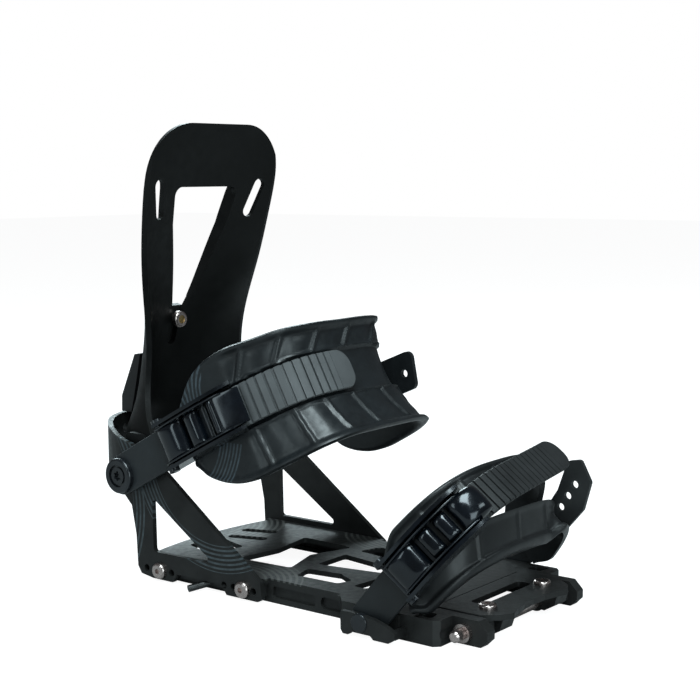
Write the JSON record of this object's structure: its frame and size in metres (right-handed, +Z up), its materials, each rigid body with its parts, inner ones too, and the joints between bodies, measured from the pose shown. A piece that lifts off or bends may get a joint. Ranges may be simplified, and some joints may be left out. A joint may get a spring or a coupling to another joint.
{
  "type": "splitboard binding",
  "caption": "Soft-boot splitboard binding: channel baseplate, bent heelcup, curved highback, ratchet ankle and toe straps, and a snap ramp with retracting touring pins.",
  "frame": {"origin": "on the ground, under the middle of the closed binding's bounding box", "axes": "+Z up, -Y towards the toe, -X the side with the ladders and buckles"},
  "size_m": [0.1485, 0.2945, 0.264],
  "materials": {
    "black_anodised": "satin anodised",
    "stainless": "bright",
    "black_steel": "black oxide",
    "brass": "turned",
    "black_nylon": "satin moulded",
    "pad_plastic": "glossy moulded",
    "ladder_grey": "satin moulded",
    "ladder_black": "satin moulded",
    "buckle_black": "gloss black"
  },
  "bodies": {
    "base": {"baseplate": "black_anodised", "heelcup": "black_anodised", "heelcup_screws": "stainless", "hub_bolts": "black_steel", "hub_washers": "black_nylon", "hub_nuts": "black_steel", "toe_bolts": "black_steel", "toe_guards": "black_anodised", "stop_wire": "stainless", "cross_tube": "stainless", "pin_collars": "stainless", "pin_spring": "stainless"},
    "highback": {"highback": "black_nylon"},
    "lean_adjuster": {"lean_block": "black_nylon", "lean_bolt": "stainless", "lean_plug": "brass", "lean_nut": "black_nylon"},
    "ankle_strap": {"ankle_ladder": "ladder_grey", "ankle_pad": "pad_plastic", "ankle_connector": "ladder_black", "ankle_pad_screw": "black_steel", "ankle_buckle_base": "buckle_black", "ankle_buckle_axle": "black_steel", "ankle_pawl_pin": "black_steel"},
    "ankle_lever": {"ankle_buckle_lever": "buckle_black"},
    "ankle_pawl": {"ankle_pawl": "black_steel"},
    "toe_strap": {"toe_ladder": "ladder_black", "toe_pad": "pad_plastic", "toe_connector": "ladder_black", "toe_pad_screw": "black_steel", "toe_buckle_base": "buckle_black", "toe_buckle_axle": "black_steel", "toe_pawl_pin": "black_steel"},
    "toe_lever": {"toe_buckle_lever": "buckle_black"},
    "toe_pawl": {"toe_pawl": "black_steel"},
    "ramp": {"snap_ramp": "black_anodised", "ramp_legs": "black_anodised", "ramp_hooks": "black_anodised", "ramp_screws": "stainless"},
    "pin_near": {"touring_pin_near": "stainless"},
    "pin_far": {"touring_pin_far": "stainless"}
  },
  "joints": [
    {"name": "highback_fold", "type": "hinge", "parent": "base", "child": "highback", "pos_m": [0, 0.0975, 0.061], "axis": [1, 0, 0], "range_deg": [0, 25]},
    {"name": "lean_adjust", "type": "slide", "parent": "highback", "child": "lean_adjuster", "axis": [0, -0.3162, 0.9487], "range_m": [0, 0.005]},
    {"name": "ankle_strap_swing", "type": "hinge", "parent": "base", "child": "ankle_strap", "pos_m": [0, 0.0975, 0.061], "axis": [1, 0, 0], "range_deg": [0, 10]},
    {"name": "ankle_lever_turn", "type": "hinge", "parent": "ankle_strap", "child": "ankle_lever", "pos_m": [-0.07018, 0.05609, 0.08348], "axis": [0, -0.4772, -0.8788], "range_deg": [0, 50], "stiffness_Nm_per_rad": 0.05, "springref_deg": -20.05},
    {"name": "ankle_pawl_turn", "type": "hinge", "parent": "ankle_strap", "child": "ankle_pawl", "pos_m": [-0.06576, 0.02687, 0.09935], "axis": [0, 0.4772, 0.8788], "range_deg": [0, 5], "stiffness_Nm_per_rad": 0.02, "springref_deg": -17.19},
    {"name": "toe_strap_swing", "type": "hinge", "parent": "base", "child": "toe_strap", "pos_m": [0, -0.0815, 0.0078], "axis": [1, 0, 0], "range_deg": [-25, 0]},
    {"name": "toe_lever_turn", "type": "hinge", "parent": "toe_strap", "child": "toe_lever", "pos_m": [-0.07096, -0.10476, 0.03359], "axis": [0.1132, -0.7611, -0.6387], "range_deg": [0, 50], "stiffness_Nm_per_rad": 0.05, "springref_deg": -20.05},
    {"name": "toe_pawl_turn", "type": "hinge", "parent": "toe_strap", "child": "toe_pawl", "pos_m": [-0.06171, -0.1212, 0.05483], "axis": [-0.1132, 0.7611, 0.6387], "range_deg": [0, 5], "stiffness_Nm_per_rad": 0.02, "springref_deg": -17.19},
    {"name": "ramp_flip", "type": "hinge", "parent": "base", "child": "ramp", "pos_m": [0, -0.1295, 0.006], "axis": [1, 0, 0], "range_deg": [0, 35]},
    {"name": "pin_near_slide", "type": "slide", "parent": "base", "child": "pin_near", "axis": [1, 0, 0], "range_m": [0, 0.0076]},
    {"name": "pin_far_slide", "type": "slide", "parent": "base", "child": "pin_far", "axis": [-1, 0, 0], "range_m": [0, 0.0076]}
  ],
  "couplings": [
    {"joint": "pin_near_slide", "follows": "ramp_flip", "m_per_rad": 0.012278},
    {"joint": "pin_far_slide", "follows": "ramp_flip", "m_per_rad": 0.012278}
  ]
}
